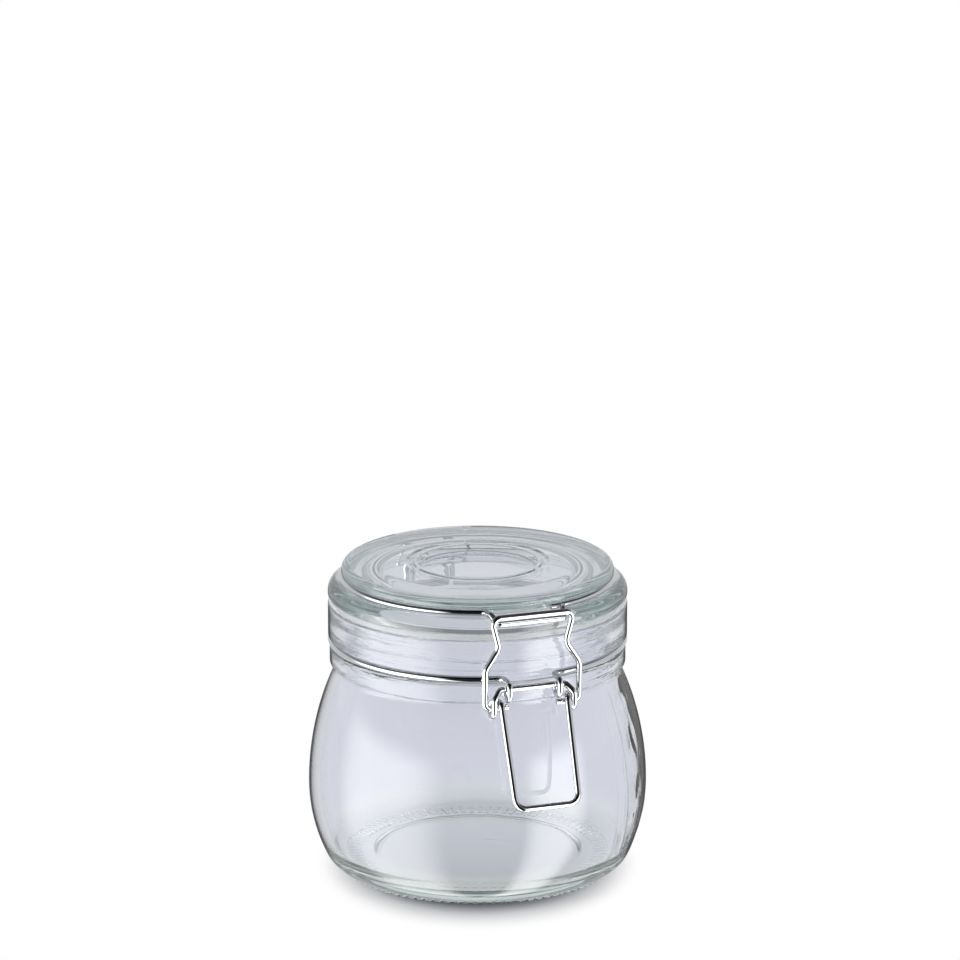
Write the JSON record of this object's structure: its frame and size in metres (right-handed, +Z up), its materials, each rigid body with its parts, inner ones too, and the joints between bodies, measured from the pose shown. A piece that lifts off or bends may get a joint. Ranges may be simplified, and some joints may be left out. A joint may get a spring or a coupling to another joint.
{
  "type": "clip-top jar",
  "caption": "Round clear glass jar with a glass lid, a pale sealing ring and a bent-wire clip closure, hinged at the back.",
  "frame": {"origin": "on the jar's axis, in the plane of the ring it stands on", "axes": "+Z up along the jar's axis, wire closure towards -Y, lid hinge towards +Y, +X to the right when facing the closure"},
  "size_m": [0.11, 0.122, 0.1019],
  "materials": {
    "jar_glass": "clear pressed soda-lime glass, fire-polished",
    "lid_glass": "clear pressed soda-lime glass, fire-polished",
    "wire": "bright drawn stainless steel wire",
    "gasket": "translucent white silicone rubber"
  },
  "bodies": {
    "jar": {"jar_glass": "jar_glass", "neck_wire": "wire"},
    "lid": {"lid_glass": "lid_glass", "gasket": "gasket", "lid_wire": "wire"},
    "lever": {"lever": "wire"},
    "bail": {"bail": "wire"}
  },
  "joints": [
    {"name": "lid_hinge", "type": "hinge", "parent": "jar", "child": "lid", "pos_m": [0, 0.0522, 0.084], "axis": [-1, 0, 0], "range_deg": [0, 100]},
    {"name": "lever_hinge", "type": "hinge", "parent": "jar", "child": "lever", "pos_m": [0, -0.0512, 0.07405], "axis": [-1, 0, 0], "range_deg": [0, 60]},
    {"name": "bail_hinge", "type": "hinge", "parent": "lever", "child": "bail", "pos_m": [0, -0.0506, 0.06795], "axis": [1, 0, 0], "range_deg": [0, 140]}
  ],
  "couplings": [
    {"joint": "lever_hinge", "follows": "lid_hinge", "ratio": 0.6},
    {"joint": "bail_hinge", "follows": "lid_hinge", "ratio": 1.4}
  ]
}
